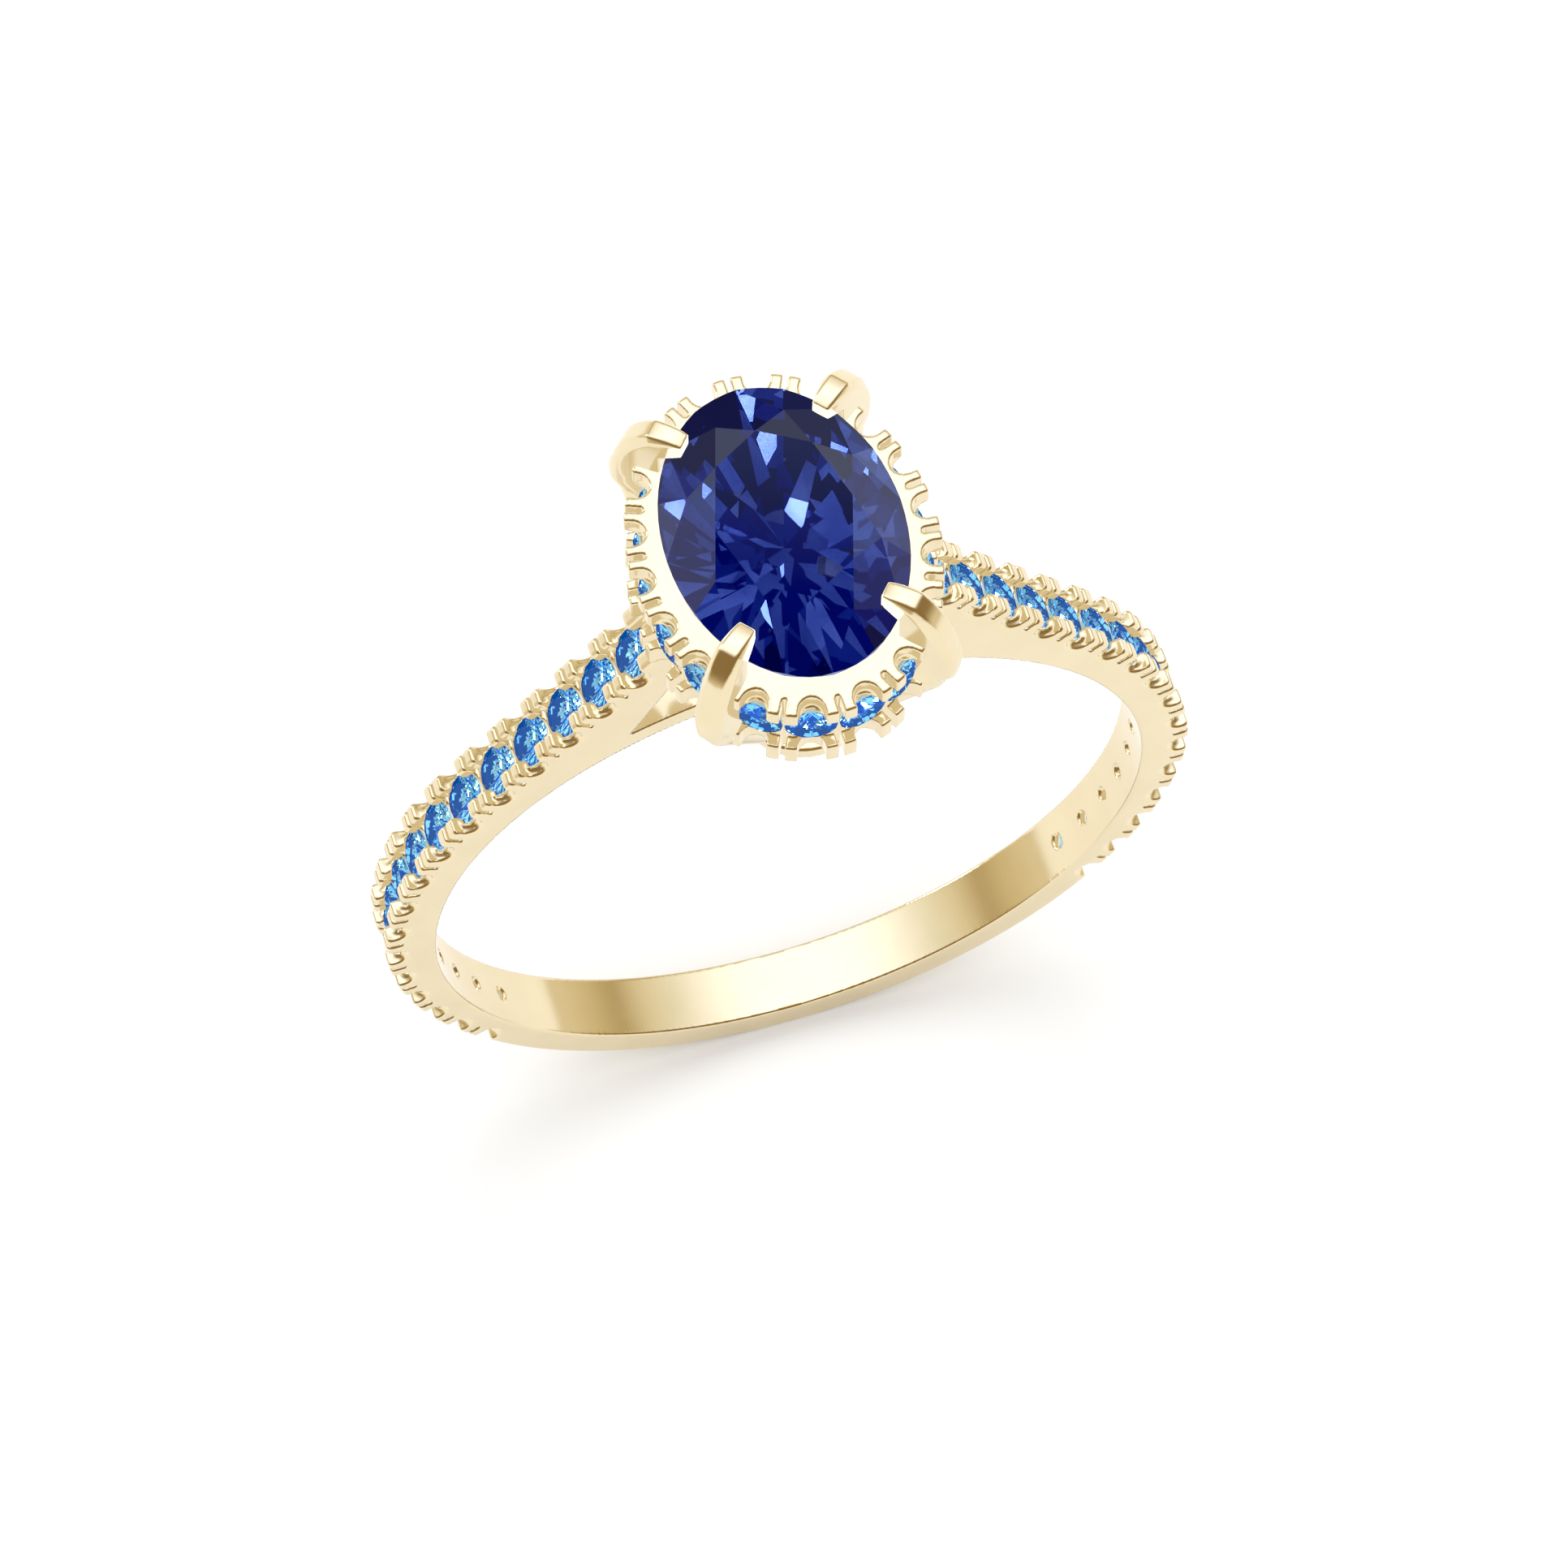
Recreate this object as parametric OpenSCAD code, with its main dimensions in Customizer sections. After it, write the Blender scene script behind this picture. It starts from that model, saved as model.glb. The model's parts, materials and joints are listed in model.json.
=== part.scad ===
// Halo engagement ring with an oval centre stone and a cathedral shank.
// Every stone sits in a true round seat. The origin is the middle of the
// finger hole, +Y runs along the finger and +Z goes up through the head.

/* [Shank] */
// Radius of the finger hole
finger_r = 8.25; // [8.2:0.01:8.3]
// Width of the band along the finger
band_w = 1.5; // [1.5:0.01:1.6]
// Outer radius of the plain back of the band
plain_r = 9.08; // [9.05:0.01:9.1]
// Outer radius of the stone-set sides, over the finger tips of the setting
crest_r = 9.37; // [9.35:0.01:9.4]
// How far the crest circle is lifted, which fades it into the plain back
crest_rise = 0.47; // [0.45:0.01:0.5]
// Angle above the side where the round band turns into a straight shoulder
shoulder_deg = 40; // [39.5:0.1:40.5]
// Top radius of the bridge that closes the finger hole below the head
bridge_r = 8.7; // [8.68:0.01:8.72]

/* [Accent stones] */
// Diameter of a small round stone
melee_d = 1.1; // [1.05:0.01:1.12]
// Distance from stone to stone along a shank arm
arm_pitch = 1.2; // [1.19:0.005:1.21]
// Where the top stone of an arm sits, measured up the shoulder
arm_start = 5.67; // [5.6:0.01:5.7]
// Width of the U cut at the side of each stone
cut_w = 0.6; // [0.56:0.01:0.62]
// Depth of the U cut below the finger tips
cut_depth = 0.46; // [0.42:0.01:0.48]
// Width of the narrow slot that splits each post into two fingers
slot_w = 0.12; // [0.1:0.01:0.14]
// Depth of the narrow slot
slot_depth = 0.39; // [0.36:0.01:0.4]
// Depth of the channel that the stones of a row stand in
channel_depth = 0.3; // [0.26:0.01:0.32]
// Diameter of the open hole behind each stone
azure_d = 0.4; // [0.3:0.01:0.44]

/* [Halo] */
// Half of the halo's width across the finger, over the finger tips
halo_a = 3.236; // [3.22:0.002:3.24]
// Half of the halo's length along the finger
halo_b = 4.095; // [4.08:0.005:4.1]
// Radius of the halo's rounded ends
halo_end_r = 2.75; // [2.74:0.01:2.76]
// Height of the halo's flat top above the middle of the finger hole
halo_top = 13.17; // [13.16:0.01:13.18]
// Height of the halo wall
halo_h = 2.05; // [2.03:0.01:2.07]
// Radial thickness of the halo wall
halo_wall = 1.2; // [1.18:0.01:1.2]
// Angle between neighbouring stones on the long sides
side_step = 13.85; // [13.8:0.05:13.9]
// Angle between neighbouring stones on the rounded ends
end_step = 26.2; // [26:0.1:26.4]

/* [Centre stone] */
// Width of the oval stone
stone_w = 5; // [4.96:0.01:5]
// Length of the oval stone
stone_l = 6.9; // [6.85:0.01:6.9]
// Height of the middle of the stone's girdle
girdle_z = 13.67; // [13.67:0.01:13.69]
// Thickness of the stone's girdle
girdle_h = 0.1; // [0.08:0.01:0.1]
// Height of the stone above its girdle
crown_h = 0.7; // [0.66:0.01:0.74]
// Depth of the stone below its girdle
pavilion_h = 2.1; // [2.05:0.01:2.12]
// Size of the flat table as a share of the whole stone
table_share = 0.57; // [0.54:0.01:0.6]

/* [Prongs and gallery] */
// Plan direction of a prong, from the finger's cross axis
prong_deg = 41.5; // [41:0.1:42]
// Width of a prong at the halo
prong_w = 0.66; // [0.62:0.01:0.66]
// Width of a prong at its blunt tip
tip_w = 0.36; // [0.34:0.01:0.4]
// Diameter of the leg under the halo
leg_d = 0.64; // [0.6:0.01:0.64]
// Height of the top of the gallery ring
gallery_top = 9.1; // [9.08:0.01:9.12]

/* [Hidden] */
gold = [0.93, 0.80, 0.52];
sapphire = [0.05, 0.08, 0.42];
aqua = [0.16, 0.50, 0.85];
gap = 0.02;

// Counts of stones
arm_stones = 16;
side_stones = 5;
end_stones = 4;
halo_stones = 2 * (side_stones + end_stones);

// Small stone, measured from the finger tips down
melee_girdle_z = -0.34;
melee_girdle_h = 0.03;
melee_crown = 0.11;
melee_pavilion = 0.46;
melee_table = 0.56;
lip_r = melee_d / 2 - 0.11;

// Halo: heights and the centres of the arcs that make its oval
halo_bottom = halo_top - halo_h;
halo_stone_z = halo_top - 0.95;
halo_cut_start = 0.36;
halo_channel_w = 1.02;
end_c = halo_b - halo_end_r;
side_r = (pow(halo_a, 2) + pow(end_c, 2) - pow(halo_end_r, 2))
    / (2 * (halo_a - halo_end_r));
side_c = side_r - halo_a;
join_deg = atan2(end_c, side_c);

// Cathedral window: its lowest corner and its half width under the halo
window_x = 3.6;
window_z = 7.93;
window_top_x = 1.88;

// Prong: plan place of its tip, then distances outward from there
tip_x = 1.45;
tip_y = 2.23;
tip_low_z = 14;
claw_in = 0.49;
notch_in = 0.44;
leg_out = 1.1;
leg_z = 11.5;
leg_deg = 32;

// Crest radius at an angle above the side, where it fades into the back
function crest_at(deg) = min(crest_r, crest_rise * sin(deg)
    + sqrt(pow(crest_r, 2) - pow(crest_rise * cos(deg), 2)));

// Place of a stone along its arm, measured up the shoulder
function arm_s(i) = arm_start - arm_pitch * (i - 1);

// Places children on the right arm: +X runs down the arm and +Z points out.
// s counts up the straight shoulder, and below zero it follows the round band
module on_arm(s) {
    deg = shoulder_deg + min(s, 0) / crest_r * 180 / PI;
    rotate([0, 90 - deg, 0])
        translate([-max(s, 0), 0, crest_at(deg)])
            children();
}

// Places children at halo stone i: +Z points out of the wall and +Y is up
module on_halo(i) {
    side = i <= 2 * side_stones;
    n = side ? side_stones : end_stones;
    k = side ? i - 1 : i - 1 - 2 * side_stones;
    flip = floor(k / n);
    deg = (k % n - (n - 1) / 2) * (side ? side_step : end_step);
    mirror([side ? flip : 0, side ? 0 : flip, 0])
        translate([side ? -side_c : 0, side ? 0 : end_c, halo_stone_z])
            rotate([0, 0, side ? deg : 90 + deg])
                translate([side ? side_r : halo_end_r, 0, 0])
                    rotate([90, 0, 90])
                        children();
}

// Places children between neighbouring halo stones, facing the same way
module on_halo_posts() {
    for (flip = [0, 1]) {
        mirror([flip, 0, 0]) for (k = [-1.5:1:1.5])
            translate([-side_c, 0, halo_stone_z])
                rotate([0, 0, k * side_step])
                    translate([side_r, 0, 0]) rotate([90, 0, 90]) children();
        mirror([0, flip, 0]) for (k = [-1:1])
            translate([0, end_c, halo_stone_z])
                rotate([0, 0, 90 + k * end_step])
                    translate([halo_end_r, 0, 0]) rotate([90, 0, 90]) children();
    }
}

// Places children at prong i, counted from the front left
module in_quarter(i) {
    mirror([i % 2, 0, 0]) mirror([0, i > 2 ? 0 : 1, 0]) children();
}

// Turns children so that +X points outward from a prong's tip
module from_tip() {
    translate([tip_x, tip_y, 0]) rotate([0, 0, prong_deg]) children();
}

// Small round stone with its table up and the finger tips at z = 0
module melee() {
    color(aqua) translate([0, 0, melee_girdle_z]) {
        cylinder(h = melee_girdle_h, d = melee_d, $fn = 8);
        translate([0, 0, melee_girdle_h])
            cylinder(h = melee_crown, d1 = melee_d, d2 = melee_d * melee_table, $fn = 8);
        translate([0, 0, -melee_pavilion])
            cylinder(h = melee_pavilion, d1 = 0.02, d2 = melee_d, $fn = 8);
    }
}

// Seat of a small stone: lip, bearing, pavilion cone and azure hole
module seat(azure) {
    bore_r = melee_d / 2 + gap;
    low = melee_girdle_z - gap;
    high = melee_girdle_z + melee_girdle_h + gap / 2;
    translate([0, 0, low]) {
        cylinder(h = 1, r = lip_r, $fn = 48);
        cylinder(h = high - low, r = bore_r, $fn = 48);
    }
    translate([0, 0, high])
        cylinder(h = 0.07, r1 = bore_r, r2 = lip_r, $fn = 48);
    translate([0, 0, low - melee_pavilion])
        cylinder(h = melee_pavilion, r1 = 0.05, r2 = bore_r, $fn = 48);
    translate([0, 0, -azure])
        cylinder(h = azure - 0.3, d = azure_d, $fn = 32);
}

// Cut with a round bottom that runs along Y, as wide as w and as deep as d
module round_cut(length, w, d) {
    translate([0, 0, w / 2 - d]) rotate([90, 0, 0])
        cylinder(h = length, d = w, center = true, $fn = 48);
    translate([-w / 2, -length / 2, w / 2 - d])
        cube([w, length, 1]);
}

// Flat channel between two stones, which leaves the fingers standing
module channel(w) {
    translate([-0.45, -w / 2, -channel_depth])
        cube([0.9, w, 1]);
}

// Oval of four arcs, drawn at a distance inside the halo's outline
module oval(inset) {
    split = end_c + (halo_end_r - inset) * sin(join_deg);
    intersection() {
        translate([-side_c, 0]) circle(r = side_r - inset, $fn = 128);
        translate([side_c, 0]) circle(r = side_r - inset, $fn = 128);
        square([4 * halo_a, 2 * split], center = true);
    }
    for (s = [-1, 1]) translate([0, s * end_c])
        circle(r = halo_end_r - inset, $fn = 96);
}

// Straight shoulder of one side, s = 1 right and s = -1 left. Its outer line
// starts just inside the crest so that it runs smoothly out of the round band
module shoulder(s) {
    rise = halo_bottom / sin(shoulder_deg) - crest_r;
    top_x = crest_r / cos(shoulder_deg) - halo_bottom * tan(shoulder_deg);
    start_deg = shoulder_deg - 2;
    start_r = crest_r - 0.01;
    rotate([90, 0, 0]) linear_extrude(height = band_w, center = true)
        polygon([
            [s * start_r * cos(start_deg), start_r * sin(start_deg)],
            [s * top_x, halo_bottom],
            [s * window_top_x, halo_bottom],
            [s * window_x, window_z],
            [s * 5.46, 6.51]
        ]);
}

// Whole band before the stones are set
module band() {
    difference() {
        union() {
            rotate([90, 0, 0])
                cylinder(h = band_w, r = plain_r, center = true, $fn = 180);
            intersection() {
                rotate([90, 0, 0])
                    cylinder(h = band_w, r = crest_r, center = true, $fn = 180);
                translate([0, 0, crest_rise]) rotate([90, 0, 0])
                    cylinder(h = band_w, r = crest_r, center = true, $fn = 180);
            }
            shoulder(1);
            shoulder(-1);
        }
        rotate([90, 0, 0])
            cylinder(h = band_w + 1, r = finger_r, center = true, $fn = 180);
        window();
    }
}

// Open cathedral window between the shoulders and above the bridge
module window() {
    difference() {
        rotate([90, 0, 0]) linear_extrude(height = band_w + 1, center = true)
            polygon([
                [window_x, window_z],
                [window_top_x, halo_bottom],
                [window_top_x, halo_bottom + 1],
                [-window_top_x, halo_bottom + 1],
                [-window_top_x, halo_bottom],
                [-window_x, window_z]
            ]);
        rotate([90, 0, 0])
            cylinder(h = band_w + 2, r = bridge_r, center = true, $fn = 180);
    }
}

// Everything that is cut out of an arm for its stones
module arm_cuts() {
    for (i = [1:arm_stones]) on_arm(arm_s(i)) {
        seat(i < 3 ? 1.2 : 2);
        for (e = [-1, 1]) translate([0, e * band_w / 2, 0])
            round_cut(band_w / 2, cut_w, cut_depth);
    }
    for (i = [1:arm_stones - 1]) on_arm(arm_s(i) - arm_pitch / 2) {
        round_cut(band_w + 1, slot_w, slot_depth);
        channel(0.6);
    }
}

module shank() {
    color(gold) difference() {
        band();
        arm_cuts();
        mirror([1, 0, 0]) arm_cuts();
    }
}

module halo_frame() {
    color(gold) difference() {
        translate([0, 0, halo_bottom]) linear_extrude(height = halo_h)
            difference() {
                oval(0);
                oval(halo_wall);
            }
        for (i = [1:halo_stones]) on_halo(i) {
            seat(1.5);
            for (e = [-1, 1]) translate([0, e * (halo_cut_start + 0.5), 0])
                round_cut(1, cut_w, cut_depth);
        }
        on_halo_posts() {
            round_cut(halo_h + 1, slot_w, slot_depth);
            channel(halo_channel_w);
        }
        for (i = [1:4]) in_quarter(i) from_tip()
            translate([notch_in, -prong_w / 2 - gap, halo_bottom - 1])
                cube([2, prong_w + 2 * gap, halo_h + 2]);
    }
}

// Side view of a claw: x runs outward from the tip and y is the height
module claw_side() {
    intersection() {
        translate([-0.61, 12.476]) circle(r = 2.33, $fn = 96);
        translate([0.42, 12.9]) circle(r = 1.5, $fn = 96);
        polygon([
            [0, tip_low_z],
            [0.42, 13.8],
            [claw_in, 13.55],
            [claw_in, halo_bottom],
            [1.6, halo_bottom],
            [2.5, 12],
            [2.5, 15],
            [0, 15]
        ]);
    }
}

// Claw above the halo's lower edge, narrow at its tip
module claw() {
    intersection() {
        rotate([90, 0, 0]) linear_extrude(height = 2, center = true)
            claw_side();
        linear_extrude(height = 16) polygon([
            [0, -tip_w / 2],
            [0.6, -prong_w / 2],
            [2, -prong_w / 2],
            [2, prong_w / 2],
            [0.6, prong_w / 2],
            [0, tip_w / 2]
        ]);
    }
}

// Leg that leans inward from the claw to the gallery ring
module leg() {
    intersection() {
        translate([leg_out, 0, leg_z]) rotate([0, leg_deg, 0])
            translate([0, 0, -4]) cylinder(h = 4, d = leg_d, $fn = 32);
        translate([-2, -1, gallery_top])
            cube([5, 2, halo_bottom - gallery_top + 0.5]);
    }
}

// The two accent stones beside a claw are let into its sides
module claw_prong(i) {
    color(gold) in_quarter(i) difference() {
        from_tip() {
            claw();
            leg();
        }
        on_halo(side_stones) seat(1.5);
        on_halo(2 * side_stones + 1) seat(1.5);
    }
}

// Two feet that join the gallery ring to the bridge
module gallery_feet() {
    difference() {
        for (s = [-1, 1]) translate([s * 1.6, 0, gallery_top - 0.45])
            cube([0.5, 0.9, 0.5], center = true);
        rotate([90, 0, 0])
            cylinder(h = 3, r = bridge_r + gap, center = true, $fn = 180);
    }
}

module gallery_ring() {
    color(gold) {
        translate([0, 0, gallery_top - 0.35]) linear_extrude(height = 0.35)
            difference() {
                oval(1.3);
                oval(1.9);
            }
        gallery_feet();
    }
}

// n points of one oval level, k times the stone's size, turned by part of a step
function level(n, k, z, turn) = [for (j = [0:n - 1])
    let (a = (j + turn) * 360 / n)
        [stone_w / 2 * k * cos(a), stone_l / 2 * k * sin(a), z]];

// Oval brilliant: table, stars, kites and girdle facets over a faceted pavilion
module centre_stone() {
    top = girdle_z + girdle_h / 2;
    low = girdle_z - girdle_h / 2;
    star = 0.8;
    heel = 0.22;
    star_z = top + crown_h * (1 - star * cos(22.5)) / (1 - table_share);
    heel_z = low - pavilion_h * (1 - heel * cos(22.5));
    points = concat(
        level(8, table_share, top + crown_h, 0.5),
        level(8, star, star_z, 0),
        level(32, 1, top, 0),
        level(32, 1, low, 0),
        level(8, heel, heel_z, 0),
        [[0, 0, low - pavilion_h]]
    );
    faces = concat(
        [[7, 6, 5, 4, 3, 2, 1, 0]],
        [for (j = [0:7]) let (n = (j + 1) % 8) each [
            [j, n, 8 + n],
            [j, 8 + n, 16 + 4 * j + 2],
            [j, 16 + 4 * j + 2, 8 + j],
            [88, 80 + j, 48 + 4 * j + 2],
            [88, 48 + 4 * j + 2, 80 + n]
        ]],
        [for (j = [0:31]) let (n = (j + 1) % 32, s = floor((j + 2) / 4) % 8) each [
            [8 + s, 16 + n, 16 + j],
            [16 + j, 48 + n, 48 + j],
            [16 + j, 16 + n, 48 + n],
            [80 + s, 48 + j, 48 + n]
        ]]
    );
    color(sapphire) polyhedron(points, faces);
}

module halo_stone(i) {
    on_halo(i) melee();
}

module arm_stone(i, side) {
    mirror([side, 0, 0]) on_arm(arm_s(i)) melee();
}

shank();
halo_frame();
gallery_ring();
for (i = [1:4])
    claw_prong(i);
centre_stone();
for (i = [1:halo_stones])
    halo_stone(i);
for (i = [1:arm_stones])
    arm_stone(i, 1);
for (i = [1:arm_stones])
    arm_stone(i, 0);
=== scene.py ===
import json
import math
import bpy
import numpy as np
from mathutils import Euler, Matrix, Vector


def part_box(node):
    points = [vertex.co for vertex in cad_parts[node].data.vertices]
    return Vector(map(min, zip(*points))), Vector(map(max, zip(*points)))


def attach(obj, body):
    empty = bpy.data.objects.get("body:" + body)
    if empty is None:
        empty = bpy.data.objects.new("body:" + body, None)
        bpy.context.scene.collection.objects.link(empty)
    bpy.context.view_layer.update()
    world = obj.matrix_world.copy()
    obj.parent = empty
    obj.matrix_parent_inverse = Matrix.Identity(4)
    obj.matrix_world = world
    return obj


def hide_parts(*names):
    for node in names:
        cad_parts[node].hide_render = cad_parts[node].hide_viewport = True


with open("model.json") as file:
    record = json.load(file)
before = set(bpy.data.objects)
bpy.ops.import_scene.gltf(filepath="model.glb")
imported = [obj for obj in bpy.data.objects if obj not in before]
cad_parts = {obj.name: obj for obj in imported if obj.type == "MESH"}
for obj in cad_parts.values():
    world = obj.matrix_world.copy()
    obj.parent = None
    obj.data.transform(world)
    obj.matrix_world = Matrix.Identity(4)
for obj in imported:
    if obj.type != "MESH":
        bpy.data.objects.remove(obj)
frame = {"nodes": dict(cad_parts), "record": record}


def save_bounds():
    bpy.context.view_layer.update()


save_bounds()
MM = 0.001
RAD = math.pi / 180
record = frame["record"]
nodes = frame["nodes"]


def box_mm(node):
    """The low and high corners of a CAD node's box, in mm."""
    lo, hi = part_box(node)
    return np.array(lo) / MM, np.array(hi) / MM


# ---------------------------------------------------------------- sizes, mm
shank_lo, shank_hi = box_mm("shank")
halo_lo, halo_hi = box_mm("halo_frame")
gallery_lo, gallery_hi = box_mm("gallery_ring")

# band
FINGER_R = record["mounts"][0]["dims"]["r_mm"]
BAND_HALF = shank_hi[1]
PLAIN_R = -shank_lo[2]            # the plain back, below the last stone
CREST_R = 9.37                    # the arms, over the stones
RISE = 0.47                       # how far the arms' outside circle lies above the finger's
SHOULDER = 40 * RAD               # where the arms leave the circle and run straight up
BRIDGE_R = 8.7                    # the thin bridge that closes the circle under the head
WINDOW_X, WINDOW_Z = 3.60, 7.93   # a point on the slanted side of the opening over the bridge
WINDOW_SLANT = (0.880, 0.475)

# small stones along an arm, from its straight end down
PITCH, START, ARM_STONES = 1.2, 5.67, 16

# seat of a small stone, depths below the face of the metal
MOUTH_R, BORE_R, AZURE_R = 0.45, 0.56, 0.17
MOUTH_DEPTH = 0.31
BORE_TOP, BORE_LOW = 0.28, 0.38
CONE_TIP, CONE_COS = 0.84, 0.63

# round-bottomed cuts between the fingers of metal, with a floor that falls outwards
CUT_HALF, CUT_DEPTH, CUT_FALL = 0.30, 0.35, 0.11
CUT_INNER = 0.36                  # no cut nearer than this to the row of stones' middle
ARM_CHANNEL, ARM_CHANNEL_DEPTH = 0.33, 0.30
HALO_CHANNEL, HALO_CHANNEL_DEPTH = 0.52, 0.31

# halo: an oval of four arcs
HALO_TOP, HALO_LOW = halo_hi[2], halo_lo[2]
SIDE_R, END_R = 4.854, 2.75
SIDE_C, END_C = 1.618, 1.345      # how far the arcs' centres lie from the ring's middle
SIDE_STEP, END_STEP = 13.85 * RAD, 26.2 * RAD
STONE_Z = HALO_TOP - 0.95
HALO_WALL = 1.2

# claws: t runs outwards from the tip, z is the frame's own
PRONG = 41.5 * RAD
TIP_X, TIP_Y = 1.451, 2.227
BACK_ARC = (-0.61, 12.476, 2.33)  # t and z of the centre, then the radius
TIP_ARC = (0.42, 12.9, 1.5)
CLAW_HALF, CLAW_FOOT = 0.335, 11.15
TAPER_T, TAPER_Z = 1.16, 12.4     # the claw narrows inside this t and above this z
BLADE_FOOT = 12.5
LEG_T, LEG_Z, LEG_R = 1.12, 11.55, 0.32
LEG_RUN, LEG_FALL = 1.57, 2.55

# gallery ring under the halo
GALLERY_IN, GALLERY_HALF, GALLERY_THICK = 1.6, 0.3, 0.35


# ---------------------------------------------------------------- fields, negative inside
def round_and(a, b, r):
    """Both fields, with their common edge rounded to radius r."""
    edge = np.hypot(np.maximum(a + r, 0), np.maximum(b + r, 0))
    return np.minimum(-r, np.maximum(a, b)) + edge


def round_or(a, b, r):
    """Either field, with the corner between them filled to radius r."""
    return -round_and(-a, -b, r)


def smooth(x, a, b):
    """0 below a and 1 above b, with a soft step between them."""
    q = np.clip((x - a) / (b - a), 0, 1)
    return q * q * (3 - 2 * q)


def seat(rho, h):
    """Mouth, bearing, cone and light hole of a small stone's seat."""
    mouth = np.maximum(rho - MOUTH_R, -MOUTH_DEPTH - h)
    bore = np.maximum(rho - BORE_R, np.maximum(-BORE_LOW - h, h + BORE_TOP))
    cone = (rho - BORE_R * (h + CONE_TIP) / (CONE_TIP - BORE_LOW)) * CONE_COS
    cone = np.maximum(cone, h + 0.36)
    azure = np.maximum(rho - AZURE_R, h + 0.5)
    return np.minimum(np.minimum(mouth, bore), np.minimum(cone, azure))


def stadium(u, h, half, depth):
    """Cut open towards +h, half as wide as given, with a round bottom."""
    low = half - depth
    return np.where(h > low, np.abs(u) - half, np.hypot(u, h - low) - half)


def finger_cut(u, h, off, fall_from):
    """Cut over a stone, from the channel out; off is the distance from the row's middle."""
    depth = CUT_DEPTH + CUT_FALL * smooth(off, fall_from, 0.66)
    return np.maximum(stadium(u, h, CUT_HALF, depth), CUT_INNER - off)


def shank_field(x, y, z):
    """The band: s runs along its outside, h is the height over its crest."""
    x, y = np.abs(x), np.abs(y)
    r, th = np.hypot(x, z), np.arctan2(z, x)
    run = -x * math.sin(SHOULDER) + z * math.cos(SHOULDER)
    out = x * math.cos(SHOULDER) + z * math.sin(SHOULDER)
    lifted = RISE * np.sin(th) + np.sqrt(CREST_R**2 - (RISE * np.cos(th))**2)
    straight = run > 0
    s = np.where(straight, run, (th - SHOULDER) * CREST_R)
    h = np.where(straight, out - CREST_R, r - np.minimum(CREST_R, lifted))
    # places along the arm, from the nearest stone and the nearest gap between stones
    stone = np.clip(np.round((START - s) / PITCH), 0, ARM_STONES - 1)
    u = s - (START - PITCH * stone)
    gap = np.clip(np.round((START - s) / PITCH - 0.5), 0, ARM_STONES - 2)
    post = s - (START - PITCH * (gap + 0.5))
    # crest with a channel down its middle, then the plain back past the last stone
    past = s < START - PITCH * (ARM_STONES - 1) - 0.2
    channel = np.where(past, h, h + ARM_CHANNEL_DEPTH)
    d = np.minimum(round_and(h, ARM_CHANNEL - y, 0.09), channel)
    d = np.where(past, np.minimum(d, np.where(z < 0, r - PLAIN_R, 1)), d)
    face = y - BAND_HALF
    d = round_and(d, face, 0.10)
    d = round_and(d, -finger_cut(u, h, y, 0.50), 0.03 + 0.05 * smooth(-h, 0.15, 0.4))
    d = round_and(d, -stadium(post, h, 0.05, 0.39), 0.022)
    d = round_and(d, -seat(np.hypot(u, y), h), 0.012)
    # opening between the shoulder and the bridge, then the halo's flat underside
    slant = WINDOW_SLANT[0] * (x - WINDOW_X) + WINDOW_SLANT[1] * (z - WINDOW_Z)
    window = np.maximum(round_and(slant, BRIDGE_R - r, 0.02), 5 - z)
    d = np.maximum(d, z - HALO_LOW)
    d = np.maximum(d, round_and(-window, face, 0.03))
    return np.maximum(d, round_and(FINGER_R - r, face, 0.03))


def halo_parts(x, y):
    """Height over the halo's outline, then the places along it in stones and gaps."""
    x, y = np.abs(x), np.abs(y)
    a, b = np.arctan2(y, x + SIDE_C), np.arctan2(x, y - END_C)
    side = a < math.atan2(END_C, SIDE_C)
    h = np.where(side, np.hypot(x + SIDE_C, y) - SIDE_R, np.hypot(x, y - END_C) - END_R)
    side_stone = np.clip(np.round(a / SIDE_STEP), 0, 2) * SIDE_STEP
    end_stone = (np.clip(np.floor(b / END_STEP), 0, 1) + 0.5) * END_STEP
    side_gap = (np.clip(np.floor(a / SIDE_STEP), 0, 1) + 0.5) * SIDE_STEP
    end_gap = np.clip(np.round(b / END_STEP), 0, 1) * END_STEP
    u = np.where(side, (a - side_stone) * SIDE_R, (b - end_stone) * END_R)
    post = np.where(side, (a - side_gap) * SIDE_R, (b - end_gap) * END_R)
    return h, u, post


def halo_field(x, y, z):
    """The wall round the centre stone, with two rows of fingers on its outside."""
    h, u, post = halo_parts(x, y)
    v = z - STONE_Z
    off = np.abs(v)
    d = np.minimum(round_and(h, HALO_CHANNEL - off, 0.05), h + HALO_CHANNEL_DEPTH)
    d = np.maximum(d, round_and(h, z - HALO_TOP, 0.05))
    d = np.maximum(d, round_and(h, HALO_LOW - z, 0.09))
    cuts = np.minimum(finger_cut(u, h, off, 0.52), stadium(post, h, 0.062, 0.40))
    d = round_and(d, -cuts, 0.025)
    d = round_and(d, -seat(np.hypot(u, v), h), 0.012)
    return round_and(d, -(h + HALO_WALL), 0.04)


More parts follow.
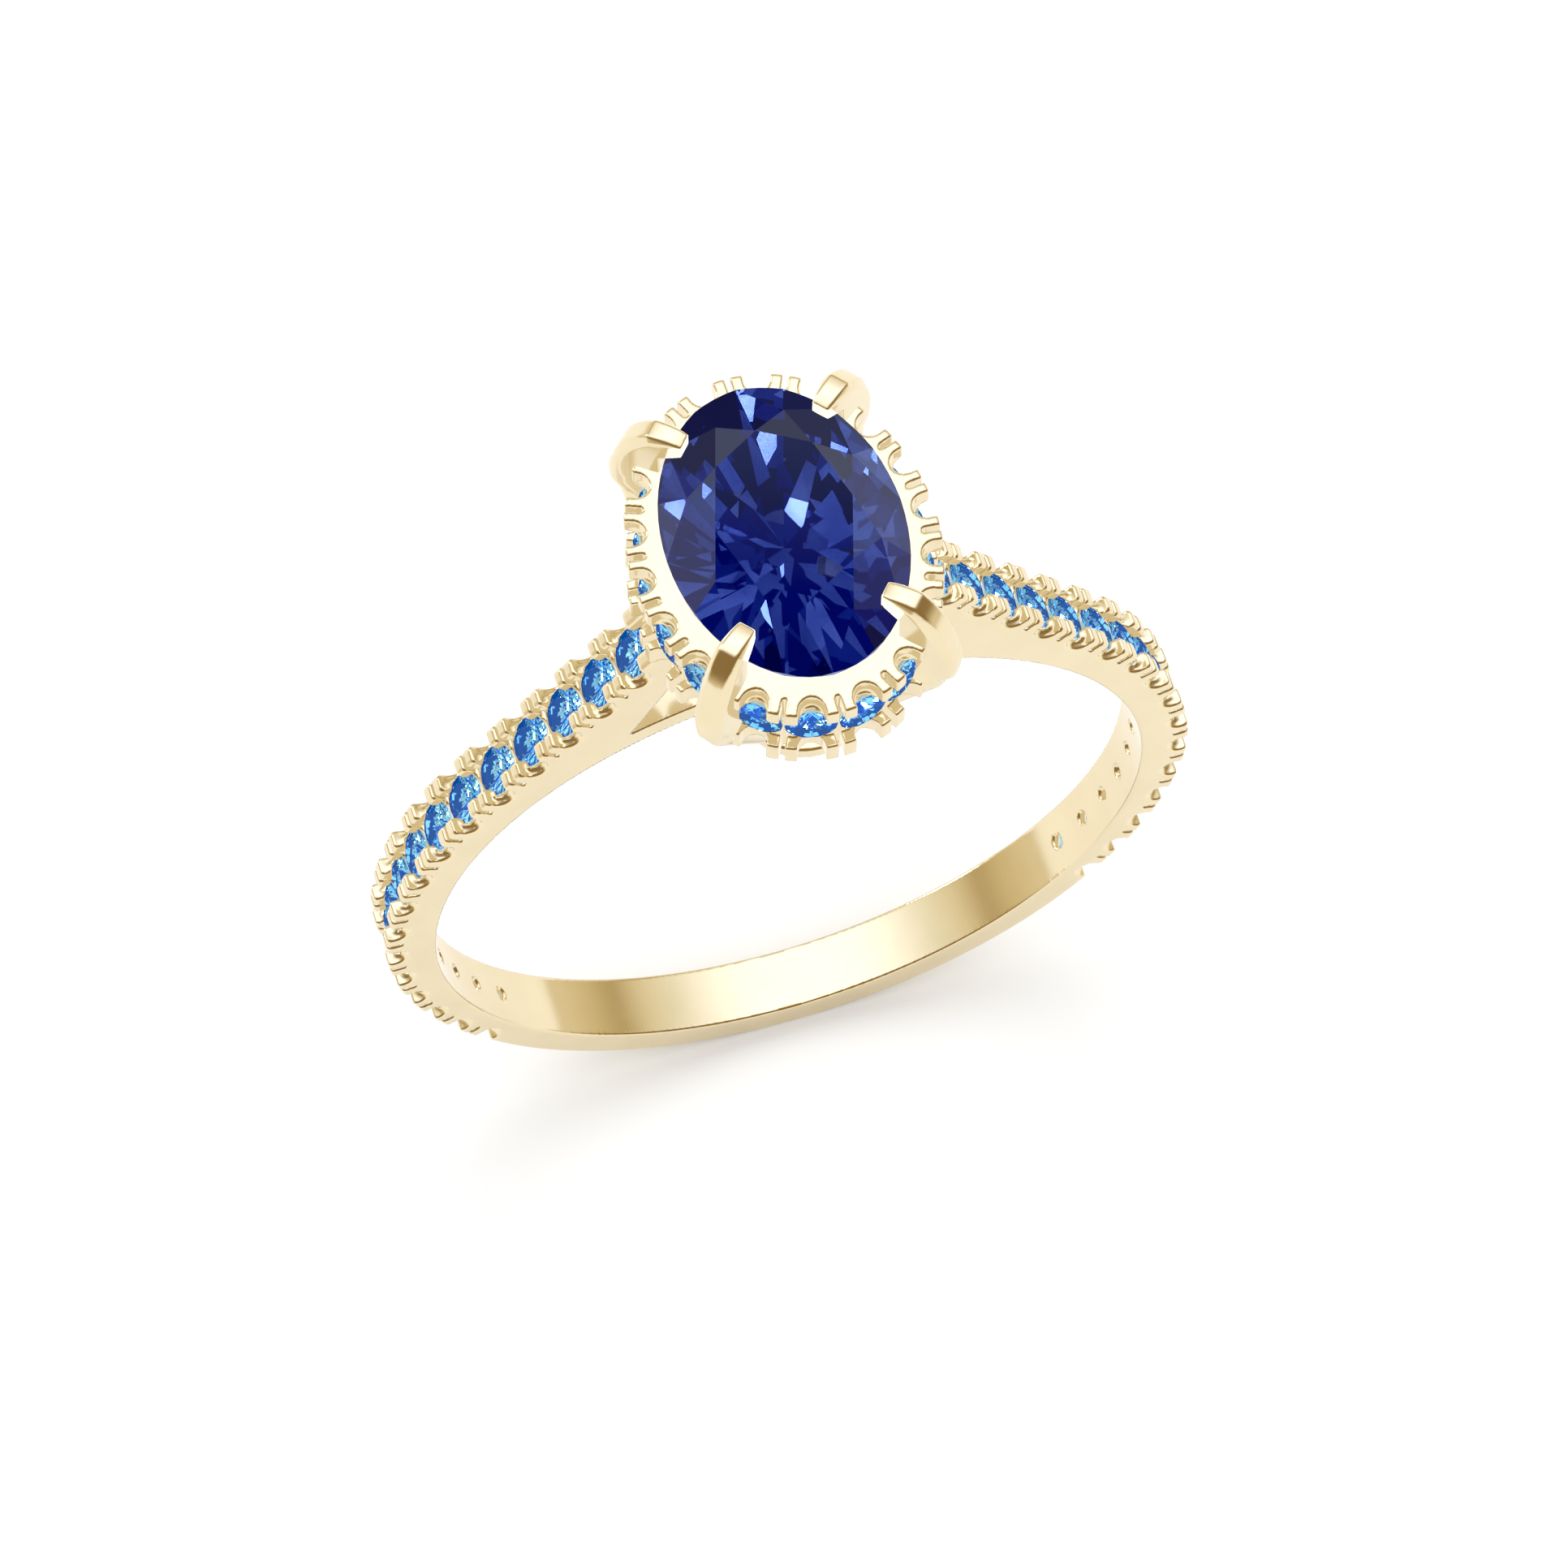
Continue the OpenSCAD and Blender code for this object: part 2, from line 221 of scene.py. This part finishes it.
def claw_field(x, y, z):
    """The claw in the +x +y quarter, with its leg."""
    dx, dy = x - TIP_X, y - TIP_Y
    t = dx * math.cos(PRONG) + dy * math.sin(PRONG)
    v = np.abs(dy * math.cos(PRONG) - dx * math.sin(PRONG))
    back, tip = [np.hypot(t - ct, z - cz) - r for ct, cz, r in (BACK_ARC, TIP_ARC)]
    outer = np.maximum(back, tip)
    narrow = (t < TAPER_T) & (z >= TAPER_Z)
    side = v - np.where(narrow, 0.187 + 0.2555 * t - 0.11 * t * t, CLAW_HALF)
    # a rounded bar, with a blade of narrow facets let into its outer side
    let_in = smooth(z, TAPER_Z, 13.3)
    bar = round_and(outer + 0.12 * let_in, side, 0.28 - 0.17 * let_in)
    taper = np.sqrt(np.clip((z - BLADE_FOOT) / 1.6, 0, 1))
    bevel = (v - (0.185 + 0.03 * np.clip(t, 0, 1)) * taper) * 0.80 + outer * 0.60
    leaf = (t - 1.431) * 0.961 + (z - 13.6) * 0.275 + 0.10 * v
    blade = round_and(round_and(outer, leaf, 0.08), bevel, 0.025)
    body = round_or(bar, round_and(blade, side, 0.02), 0.01)
    body = round_and(body, CLAW_FOOT - z, 0.28)
    # the side that rests on the stone's crown, and the flat end of the tip
    inner = np.minimum((13.98 - 0.476 * t - z) * 0.903, 0.46 - t)
    body = round_and(body, round_and(inner, -t, 0.02), 0.02)
    # leg from the claw down and in to the gallery ring
    run, fall = t - LEG_T, z - LEG_Z
    q = np.clip((-LEG_RUN * run - LEG_FALL * fall) / (LEG_RUN**2 + LEG_FALL**2), 0, 1)
    leg = np.sqrt((run + LEG_RUN * q)**2 + (fall + LEG_FALL * q)**2 + v**2) - LEG_R
    return np.maximum(round_or(body, leg, 0.25), gallery_hi[2] - z)


def gallery_field(x, y, z):
    """The small oval ring that the legs stand on, with a foot at each side."""
    h = halo_parts(x, y)[0]
    half = GALLERY_THICK / 2
    flat = np.abs(z - gallery_hi[2] + half) - half
    ring = round_and(np.abs(h + GALLERY_IN) - GALLERY_HALF, flat, 0.08)
    foot = np.maximum(np.abs(np.abs(x) - 1.6) - 0.25, np.abs(y) - 0.45)
    foot = np.maximum(foot, z - gallery_hi[2] + 0.1)
    foot = round_and(foot, BRIDGE_R + 0.02 - np.hypot(x, z), 0.03)
    return round_or(ring, foot, 0.06)


# ---------------------------------------------------------------- surfaces from fields
def sample_blocks(field, lo, hi, step, block):
    """Blocks of cells near the surface, their corner values, and the grid's full size."""
    size = step * block
    n = np.ceil((hi - lo) / size).astype(int)
    axes = [lo[i] + (np.arange(n[i]) + 0.5) * size for i in range(3)]
    grid = np.meshgrid(*axes, indexing="ij")
    near = np.abs(field(*[g.ravel() for g in grid]).reshape(n)) < size * 1.1 + step
    keep = np.argwhere(near)
    tick = np.arange(block + 1) * step
    org = lo + keep * size
    vals = np.empty((len(keep),) + (block + 1,) * 3, np.float32)
    for i in range(0, len(keep), 256):
        o = org[i:i + 256]
        vals[i:i + 256] = field(*np.broadcast_arrays(
            o[:, 0, None, None, None] + tick[:, None, None],
            o[:, 1, None, None, None] + tick[:, None],
            o[:, 2, None, None, None] + tick))
    return keep, vals, n * block + 1


def crossed_cells(inside, block):
    """Block number and place in the block of every cell that has both signs."""
    first = inside[:, :-1, :-1, :-1]
    mixed = np.zeros_like(first)
    for i, j, k in np.ndindex(2, 2, 2):
        mixed |= inside[:, i:block + i, j:block + j, k:block + k] != first
    return np.nonzero(mixed)


def mean_crossing(vals, cells):
    """Mean of the points where the surface crosses the edges of each cell."""
    at, ci, cj, ck = cells
    total, count = np.zeros((len(at), 3)), np.zeros(len(at))
    for axis in range(3):
        others = [i for i in range(3) if i != axis]
        for p, q in np.ndindex(2, 2):
            e = [0, 0, 0]
            e[others[0]], e[others[1]] = p, q
            f = list(e)
            f[axis] = 1
            v0 = vals[at, ci + e[0], cj + e[1], ck + e[2]].astype(float)
            v1 = vals[at, ci + f[0], cj + f[1], ck + f[2]].astype(float)
            cross = (v0 < 0) != (v1 < 0)
            pt = np.zeros((len(at), 3))
            pt[:, others[0]], pt[:, others[1]] = p, q
            pt[:, axis] = v0 / np.where(cross, v0 - v1, 1)
            total[cross] += pt[cross]
            count[cross] += 1
    return total / count[:, None]


def surface_net(field, lo, hi, step, block=8):
    """Vertices and quads of a field's surface: a vertex in each cell that it crosses."""
    keep, vals, span = sample_blocks(field, lo, hi, step, block)
    inside = vals < 0

    def key_of(c):
        return (c[:, 0] * span[1] + c[:, 1]) * span[2] + c[:, 2]

    cells = crossed_cells(inside, block)
    cell = keep[cells[0]] * block + np.stack(cells[1:], 1)
    verts = lo + (cell + mean_crossing(vals, cells)) * step
    keys = key_of(cell)
    order = np.argsort(keys, kind="stable")
    keys, verts = keys[order], verts[order]
    # a quad round each grid edge that the surface crosses
    quads = []
    for axis in range(3):
        ahead = [slice(0, block)] * 3
        ahead[axis] = slice(1, block + 1)
        here = inside[:, :-1, :-1, :-1]
        edges = np.nonzero(here != inside[(slice(None), *ahead)])
        corner = keep[edges[0]] * block + np.stack(edges[1:], 1)
        e1, e2 = np.zeros(3, int), np.zeros(3, int)
        e1[(axis + 1) % 3] = 1
        e2[(axis + 2) % 3] = 1
        rings = [key_of(c) for c in (corner, corner - e1, corner - e1 - e2, corner - e2)]
        index = [np.minimum(np.searchsorted(keys, c), len(keys) - 1) for c in rings]
        good = np.all([keys[i] == c for i, c in zip(index, rings)], axis=0)
        quad = np.stack(index, 1)
        flip = ~here[edges]
        quad[flip] = quad[flip][:, ::-1]
        quads.append(quad[good])
    return verts, np.concatenate(quads)


def slope(field, p, e=2e-3):
    """The field's gradient at each point."""
    g = np.empty_like(p)
    for i in range(3):
        a, b = p.copy(), p.copy()
        a[:, i] += e
        b[:, i] -= e
        g[:, i] = (field(*a.T) - field(*b.T)) / (2 * e)
    return g


def settle(field, p, step):
    """Moves vertices onto the surface itself."""
    for _ in range(3):
        g = slope(field, p)
        move = -field(*p.T)[:, None] * g / np.maximum((g * g).sum(1), 0.25)[:, None]
        far = np.linalg.norm(move, axis=1)
        p = p + move * np.minimum(1, 0.5 * step / np.maximum(far, 1e-9))[:, None]
    return p


def add_mesh(name, verts, faces, smooth_shaded):
    """An object in the scene, from vertices in mm."""
    mesh = bpy.data.meshes.new(name)
    mesh.from_pydata((np.asarray(verts) * MM).tolist(), [], [list(map(int, f)) for f in faces])
    mesh.polygons.foreach_set("use_smooth", [smooth_shaded] * len(mesh.polygons))
    mesh.update()
    piece = bpy.data.objects.new(name, mesh)
    bpy.context.scene.collection.objects.link(piece)
    return piece


def metal(name, node, field, step, lo, hi, flip=(1, 1, 1)):
    """A gold piece made from a field, kept inside the box of the CAD node it stands for."""
    pad = 2.3 * step
    verts, quads = surface_net(field, lo - pad, hi + pad, step)
    verts = np.clip(settle(field, verts, step), lo, hi) * flip
    if np.prod(flip) < 0:
        quads = quads[:, ::-1]
    piece = add_mesh(name, verts, quads, True)
    piece.data.materials.append(gold)
    piece.visible_glossy = False
    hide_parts(node)
    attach(piece, "root")


# ---------------------------------------------------------------- shader helpers
def feed(tree, socket, value):
    """Links a socket to another one, or sets it to a constant."""
    if isinstance(value, bpy.types.NodeSocket):
        tree.links.new(value, socket)
    else:
        socket.default_value = value


def shader_node(tree, kind, **inputs):
    """A new node; an input's name has _ for each space."""
    node = tree.nodes.new("ShaderNode" + kind)
    for name, value in inputs.items():
        feed(tree, node.inputs[name.replace("_", " ")], value)
    return node


def map_range(tree, value, source, target=(0.0, 1.0), curve="LINEAR"):
    """A value carried from one range to another."""
    node = shader_node(tree, "MapRange", Value=value, From_Min=source[0], From_Max=source[1],
                       To_Min=target[0], To_Max=target[1])
    node.interpolation_type = curve
    return node.outputs["Result"]


def colour_ramp(tree, factor, stops, curve="LINEAR"):
    """A colour for each factor; a stop is its place and its colour."""
    node = shader_node(tree, "ValToRGB", Fac=factor)
    ramp = node.color_ramp
    ramp.interpolation = curve
    while len(ramp.elements) < len(stops):
        ramp.elements.new(0.5)
    for element, (place, colour) in zip(ramp.elements, stops):
        element.position = place
        element.color = (*colour, 1)
    return node.outputs["Color"]


def noise(tree, scale, **inputs):
    """Fine variation that stays with the piece."""
    place = shader_node(tree, "TexCoord").outputs["Object"]
    return shader_node(tree, "TexNoise", Vector=place, Scale=scale, **inputs).outputs["Fac"]


def mix_colour(tree, share, a, b):
    """Colour a where share is 0, and b where it is 1."""
    node = shader_node(tree, "Mix")
    node.data_type = "RGBA"
    for index, value in ((0, share), (6, a), (7, b)):
        feed(tree, node.inputs[index], value)
    return node.outputs[2]


def mix_shader(tree, share, a, b):
    """Shader a where share is 0, and b where it is 1."""
    node = shader_node(tree, "MixShader")
    for index, value in enumerate((share, a, b)):
        feed(tree, node.inputs[index], value)
    return node.outputs["Shader"]


def multiply(tree, a, b):
    node = shader_node(tree, "Math")
    node.operation = "MULTIPLY"
    feed(tree, node.inputs[0], a)
    feed(tree, node.inputs[1], b)
    return node.outputs[0]


def new_material(name):
    """An empty material and its node tree."""
    material = bpy.data.materials.new(name)
    material.use_nodes = True
    material.node_tree.nodes.clear()
    return material, material.node_tree


# ---------------------------------------------------------------- materials
def make_gold():
    """Polished yellow gold, with faint changes of tone and polish."""
    material, tree = new_material("polished_gold")
    wear = noise(tree, 900.0, Detail=4.0)
    tone = colour_ramp(tree, wear, [(0.35, (0.81, 0.69, 0.455)), (0.65, (0.84, 0.72, 0.485))])
    polish = map_range(tree, wear, (0.0, 1.0), (0.10, 0.17))
    bump = shader_node(tree, "Bump", Strength=0.03, Distance=0.00001, Height=noise(tree, 9000.0))
    metal_shader = shader_node(tree, "BsdfPrincipled", Metallic=1.0, Base_Color=tone,
                               Roughness=polish, Normal=bump.outputs["Normal"])
    shader_node(tree, "OutputMaterial", Surface=metal_shader.outputs["BSDF"])
    return material


def with_painted_reflection(tree, shader, painted_reflection_colour):
    """Paints the stone's reflection in the metal beside it: glossy rays see an even glowing
    colour in place of the stone's dark outside.
    """
    path = shader_node(tree, "LightPath")
    painted_reflection = shader_node(tree, "Emission", Color=(*painted_reflection_colour, 1), Strength=2.0)
    return mix_shader(tree, path.outputs["Is Glossy Ray"], shader, painted_reflection.outputs["Emission"])


def crown_gloss(tree, gloss):
    """Share of gloss on a facet: none face on, and little where it slopes to the back."""
    slant = shader_node(tree, "LayerWeight", Blend=0.5).outputs["Facing"]
    normal = shader_node(tree, "NewGeometry").outputs["Normal"]
    rear = shader_node(tree, "SeparateXYZ", Vector=normal).outputs["Y"]
    return multiply(tree, map_range(tree, slant, (0.12, 0.22), (0.0, gloss)),
                    map_range(tree, rear, (0.18, 0.34), (1.0, 0.1)))


def make_gem(name, light, deep, gloss, depth, painted_reflection_colour, ior=1.77):
    """Two materials: coloured refraction with a faint painted glow for the crown, an inner
    mirror for the back.
    """
    crown, tree = new_material(name)
    tint = colour_ramp(tree, noise(tree, 700.0), [(0.4, deep), (0.6, light)])
    body = shader_node(tree, "BsdfRefraction", IOR=ior, Roughness=0.0, Color=tint)
    # a painted glow in the stone's deepest colour, added to the refraction so that it shows
    # where the stone sends nothing back
    painted_glow = shader_node(tree, "Emission", Color=(*depth, 1), Strength=1.0)
    full = shader_node(tree, "AddShader")
    tree.links.new(body.outputs["BSDF"], full.inputs[0])
    tree.links.new(painted_glow.outputs["Emission"], full.inputs[1])
    sheen = shader_node(tree, "BsdfGlossy", Roughness=0.0, Color=(0.56, 0.68, 1.0, 1))
    outside = mix_shader(tree, crown_gloss(tree, gloss), full.outputs["Shader"],
                         sheen.outputs["BSDF"])
    glass = shader_node(tree, "BsdfGlass", IOR=ior, Roughness=0.0).outputs["BSDF"]
    inside = shader_node(tree, "NewGeometry").outputs["Backfacing"]
    both = mix_shader(tree, inside, with_painted_reflection(tree, outside, painted_reflection_colour), glass)
    shader_node(tree, "OutputMaterial", Surface=both)

    back, tree = new_material(name + "_back")
    strong = [tuple(math.sqrt(c) for c in colour) for colour in (deep, light)]
    tint = colour_ramp(tree, noise(tree, 700.0), [(0.0, strong[0]), (1.0, strong[1])])
    outside = shader_node(tree, "BsdfPrincipled", Roughness=0.08, Base_Color=tint)
    mirror = shader_node(tree, "BsdfGlossy", Roughness=0.0, Color=(0.95, 0.97, 1, 1))
    inside = shader_node(tree, "NewGeometry").outputs["Backfacing"]
    both = mix_shader(tree, inside, with_painted_reflection(tree, outside.outputs["BSDF"], painted_reflection_colour),
                      mirror.outputs["BSDF"])
    shader_node(tree, "OutputMaterial", Surface=both)
    return crown, back


gold = make_gold()
# the mirrored colours are painted as each stone's reflection in the metal beside it
sapphire = make_gem("deep_sapphire", light=(0.040, 0.062, 0.24), deep=(0.020, 0.034, 0.17),
                    gloss=0.17, depth=(0.0, 0.0005, 0.045), painted_reflection_colour=(0.88, 0.89, 0.93))
aqua = make_gem("bright_blue", light=(0.34, 0.82, 1.0), deep=(0.22, 0.68, 1.0),
                gloss=0.05, depth=(0.0, 0.07, 0.32), painted_reflection_colour=(0.40, 0.35, 0.24))


# ---------------------------------------------------------------- metal pieces
metal("shank_band", "shank", shank_field, 0.05, shank_lo, shank_hi)
metal("halo_setting", "halo_frame", halo_field, 0.045, halo_lo, halo_hi)
metal("gallery_rail", "gallery_ring", gallery_field, 0.06, gallery_lo, gallery_hi)
for i in range(1, 5):
    # odd claws are on the left, and the first two are at the front
    flip = np.array([-1 if i % 2 else 1, 1 if i > 2 else -1, 1])
    low, high = np.sort([corner * flip for corner in box_mm(f"claw_prong_{i}")], axis=0)
    metal(f"claw_{i}", f"claw_prong_{i}", claw_field, 0.035, low, high, flip)


# ---------------------------------------------------------------- stones
OVAL_CUT = dict(crown=0.70, pavilion=2.1, girdle=0.1, table=0.585, star=0.765, heel=0.22,
                around=64)
ROUND_CUT = dict(crown=0.12, pavilion=0.45, girdle=0.03, table=0.56, star=0.78, heel=0.24,
                 around=16)
SMALL_R = 0.55
CENTRE_TOP = 0.75                 # the table over the girdle's middle


def brilliant(rx, ry, crown, pavilion, girdle, table, star, heel, around):
    """Vertices and faces of a brilliant cut stone, its girdle's middle at z = 0.

    Heights are in mm; table, star and heel are shares of the girdle's radius.
    """
    def ring(count, share, z, turn):
        a = (np.arange(count) + turn) * 2 * math.pi / count + math.pi / 8
        return np.c_[rx * share * np.cos(a), ry * share * np.sin(a), np.full(count, z)]

    top, low = girdle / 2, -girdle / 2
    c = math.cos(math.pi / 8)
    star_z = top + crown * (1 - star * c) / (1 - table)
    heel_z = low - pavilion * (1 - heel * c)
    # the girdle's edges are scalloped where the flat facets beside them end
    eighth = math.pi / 16
    a = np.arange(around) % (around // 16) * 2 * math.pi / around
    reach = np.cos(a - eighth) / math.cos(eighth) - 1
    upper, lower = ring(around, 1, top, 0), ring(around, 1, low, 0)
    upper[:, 2] -= reach * (star_z - top) / (1 - star)
    lower[:, 2] += reach * (low - heel_z) / (1 - heel)
    verts = np.concatenate([
        ring(8, table, top + crown, 0.5), ring(8, star, star_z, 0), upper, lower,
        ring(8, heel, heel_z, 0), [[0, 0, low - pavilion]]])
    # first vertex of the table, stars, girdle's upper and lower edges, heels and culet
    T, S, G, L, H = 0, 8, 16, 16 + around, 16 + 2 * around
    C = H + 8
    q = around // 8
    faces = [[T + j for j in range(8)]]
    for j in range(8):
        n = (j + 1) % 8
        mid = q * j + q // 2
        faces.append([T + j, S + n, T + n])
        faces.append([T + j, S + j, G + mid, S + n])
        faces.append([C, H + n, L + mid, H + j])
    for j in range(8):
        for half in (-1, 1):
            ids = [(q * j + half * i) % around for i in range(q // 2 + 1)]
            up = [S + j] + [G + i for i in ids]
            down = [H + j] + [L + i for i in ids]
            faces.append(up if half > 0 else up[::-1])
            faces.append(down[::-1] if half > 0 else down)
    for j in range(around):
        n = (j + 1) % around
        faces.append([G + j, L + j, L + n, G + n])
    return verts, faces


def add_gem(name, node, cut, axes, middle, materials):
    """Sets a cut stone; its girdle and back take the second material."""
    verts, faces = cut
    below = [int(verts[f, 2].mean() < 0.005) for f in faces]
    piece = add_mesh(name, verts @ axes.T + middle, faces, False)
    for material in materials:
        piece.data.materials.append(material)
    piece.data.polygons.foreach_set("material_index", below)
    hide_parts(node)
    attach(piece, "root")


def node_points(node):
    """The corners of a CAD node, in mm."""
    mesh = nodes[node].data
    p = np.empty(len(mesh.vertices) * 3)
    mesh.vertices.foreach_get("co", p)
    return p.reshape(-1, 3) @ np.array(nodes[node].matrix_world.to_3x3()).T / MM


def small_stone(node):
    """Places one small brilliant by the shape of its CAD node."""
    p = np.unique(np.round(node_points(node), 5), axis=0)
    centre = p.mean(0)
    # the stone is thinnest along its axis, and its culet points into the metal
    axis = np.linalg.eigh(np.cov((p - centre).T))[1][:, 0]
    along = (p - centre) @ axis
    across = np.linalg.norm(p - centre - along[:, None] * axis, axis=1)
    if along[across < 0.1].mean() > 0:
        axis, along = -axis, -along
    middle = centre + axis * along[across > 0.5].mean()
    side = np.cross(axis, [0.0, 1.0, 0.0] if abs(axis[1]) < 0.9 else [0.0, 0.0, 1.0])
    side /= np.linalg.norm(side)
    axes = np.c_[side, np.cross(axis, side), axis]
    add_gem(node.replace("stone", "gem"), node, brilliant(SMALL_R, SMALL_R, **ROUND_CUT),
            axes, middle, aqua)


for node in sorted(nodes):
    if "_stone_" in node:
        small_stone(node)

lo, hi = box_mm("centre_stone")
half = (hi - lo) / 2
middle = [(lo[0] + hi[0]) / 2, (lo[1] + hi[1]) / 2, hi[2] - CENTRE_TOP]
add_gem("centre_gem", "centre_stone", brilliant(half[0], half[1], **OVAL_CUT), np.eye(3),
        middle, sapphire)


# ---------------------------------------------------------------- floor, light, camera
FLOOR_HALF = 900
WORLD_STRENGTH = 2.0


def make_floor():
    """A pale matt floor, just under the band."""
    material, tree = new_material("studio_floor")
    grain = shader_node(tree, "TexNoise", Scale=3).outputs["Fac"]
    tone = colour_ramp(tree, grain, [(0.0, (0.90,) * 3), (1.0, (0.92,) * 3)])
    matt = shader_node(tree, "BsdfDiffuse", Color=tone)
    shader_node(tree, "OutputMaterial", Surface=matt.outputs["BSDF"])
    corners = [(x * FLOOR_HALF, y * FLOOR_HALF, shank_lo[2] - 0.01)
               for x, y in ((-1, -1), (1, -1), (1, 1), (-1, 1))]
    floor = add_mesh("floor", corners, [(0, 1, 2, 3)], False)
    floor.data.materials.append(material)


def make_lamp(name, where, size, power):
    """A square soft light that faces the ring, and that nothing mirrors."""
    data = bpy.data.lights.new(name, "AREA")
    data.shape = "RECTANGLE"
    data.size = data.size_y = size * MM
    data.energy = power
    lamp = bpy.data.objects.new(name, data)
    lamp.location = Vector(where) * MM
    lamp.rotation_mode = "QUATERNION"
    lamp.rotation_quaternion = (-Vector(where)).to_track_quat("-Z", "Y")
    lamp.visible_glossy = lamp.visible_transmission = False
    bpy.context.scene.collection.objects.link(lamp)


def shown(colour):
    """The node colour that looks as bright as given."""
    return tuple(c / WORLD_STRENGTH for c in colour)


def studio_walls(tree, way):
    """What metal mirrors: bright overhead, warm walls, and a dark side behind the camera."""
    split = shader_node(tree, "SeparateXYZ", Vector=way)
    height = map_range(tree, split.outputs["Z"], (-1.0, 1.0))
    # colours by height over the horizon, in degrees
    stops = [(-40, (0.75, 0.70, 0.60)), (-8, (0.62, 0.52, 0.33)), (4, (0.85, 0.76, 0.56)),
             (15, (0.72, 0.61, 0.38)), (24, (0.53, 0.42, 0.23)), (32, (0.85, 0.77, 0.58)),
             (42, (1.0, 1.0, 0.95)), (52, (1.3, 1.35, 1.5)), (62, (1.75, 1.8, 1.95))]
    walls = colour_ramp(tree, height, [((math.sin(deg * RAD) + 1) / 2, shown(colour))
                                       for deg, colour in stops])
    front = map_range(tree, split.outputs["Y"], (0.42, -0.30), curve="SMOOTHSTEP")
    above = map_range(tree, split.outputs["Z"], (0.05, 0.30), curve="SMOOTHSTEP")
    walls = mix_colour(tree, multiply(tree, front, above), walls,
                       (*shown((0.30, 0.20, 0.084)), 1))
    # one window, on the left of the back wall
    toward = shader_node(tree, "VectorMath")
    toward.operation = "DOT_PRODUCT"
    tree.links.new(way, toward.inputs[0])
    toward.inputs[1].default_value = (-0.594, 0.733, 0.329)
    window = map_range(tree, toward.outputs["Value"], (0.975, 0.995), curve="SMOOTHSTEP")
    return mix_colour(tree, window, walls, (*shown((6.0, 6.0, 6.0)), 1))


def patchwork(tree, way):
    """What the stones send back: a dark blue room with small bright panes."""
    cells = shader_node(tree, "TexVoronoi", Scale=4.0, Vector=way)
    pick = shader_node(tree, "SeparateColor", Color=cells.outputs["Color"])
    panes = [(0.0, (0.01, 0.03, 0.30)), (0.40, (0.10, 0.18, 0.55)), (0.60, (0.60, 0.70, 0.90)),
             (0.78, (1.2, 1.3, 1.4)), (0.92, (14.0, 14.0, 14.0))]
    return colour_ramp(tree, pick.outputs["Red"],
                       [(place, shown(colour)) for place, colour in panes], "CONSTANT")


def world_light():
    """A studio that metal, stones and matt surfaces each see in their own way."""
    world = bpy.data.worlds.new("studio")
    bpy.context.scene.world = world
    world.use_nodes = True
    tree = world.node_tree
    tree.nodes.clear()
    way = shader_node(tree, "TexCoord").outputs["Generated"]
    path = shader_node(tree, "LightPath")
    seen = mix_colour(tree, path.outputs["Is Transmission Ray"], studio_walls(tree, way),
                      patchwork(tree, way))
    even = (*shown((1.16, 1.16, 1.16)), 1)
    seen = mix_colour(tree, path.outputs["Is Diffuse Ray"], seen, even)
    light = shader_node(tree, "Background", Color=seen, Strength=WORLD_STRENGTH)
    shader_node(tree, "OutputWorld", Surface=light.outputs["Background"])
    world.cycles.sampling_method = "NONE"


make_floor()
world_light()
make_lamp("key_back", (40, 150, 260), 170, 0.14)

cam_data = bpy.data.cameras.new("camera")
cam_data.sensor_width = 36
cam_data.lens = 142.6
cam_data.clip_start, cam_data.clip_end = 0.01, 10
camera = bpy.data.objects.new("camera", cam_data)
camera.location = Vector((-18.37, -58.73, 125.03)) * MM
camera.rotation_euler = Euler((26.590 * RAD, -0.197 * RAD, -17.012 * RAD))
bpy.context.scene.collection.objects.link(camera)
bpy.context.scene.camera = camera
bpy.context.scene.view_settings.view_transform = "Standard"

save_bounds()
